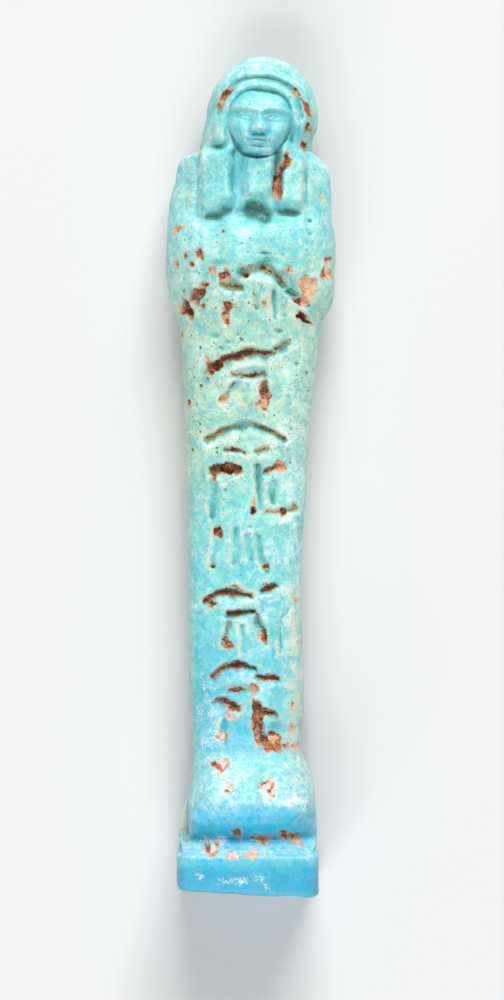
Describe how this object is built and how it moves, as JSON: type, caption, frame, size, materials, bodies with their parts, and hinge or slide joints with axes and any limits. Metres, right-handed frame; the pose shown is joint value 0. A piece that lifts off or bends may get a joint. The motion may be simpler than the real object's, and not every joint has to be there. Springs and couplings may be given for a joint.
{
  "type": "ushabti figurine",
  "caption": "Mummiform funerary figurine of blue-green glazed faience, with a long wig, rows of cut strokes, a back pillar and a low base under its feet, lying on its back.",
  "frame": {"origin": "middle of the figurine's length and width, at the level of the face it lies on", "axes": "+Y runs from the base to the crown of the wig, +Z leaves the front, +X is to the right of someone who looks at the front with the crown upwards"},
  "size_m": [0.022, 0.1082, 0.0175],
  "materials": {
    "faience": "thin blue-green glaze, glossy where whole, pitted, worn pale on its ridges and holding red-brown earth in its hollows"
  },
  "bodies": {
    "root": {"figurine": "faience"}
  },
  "joints": []
}
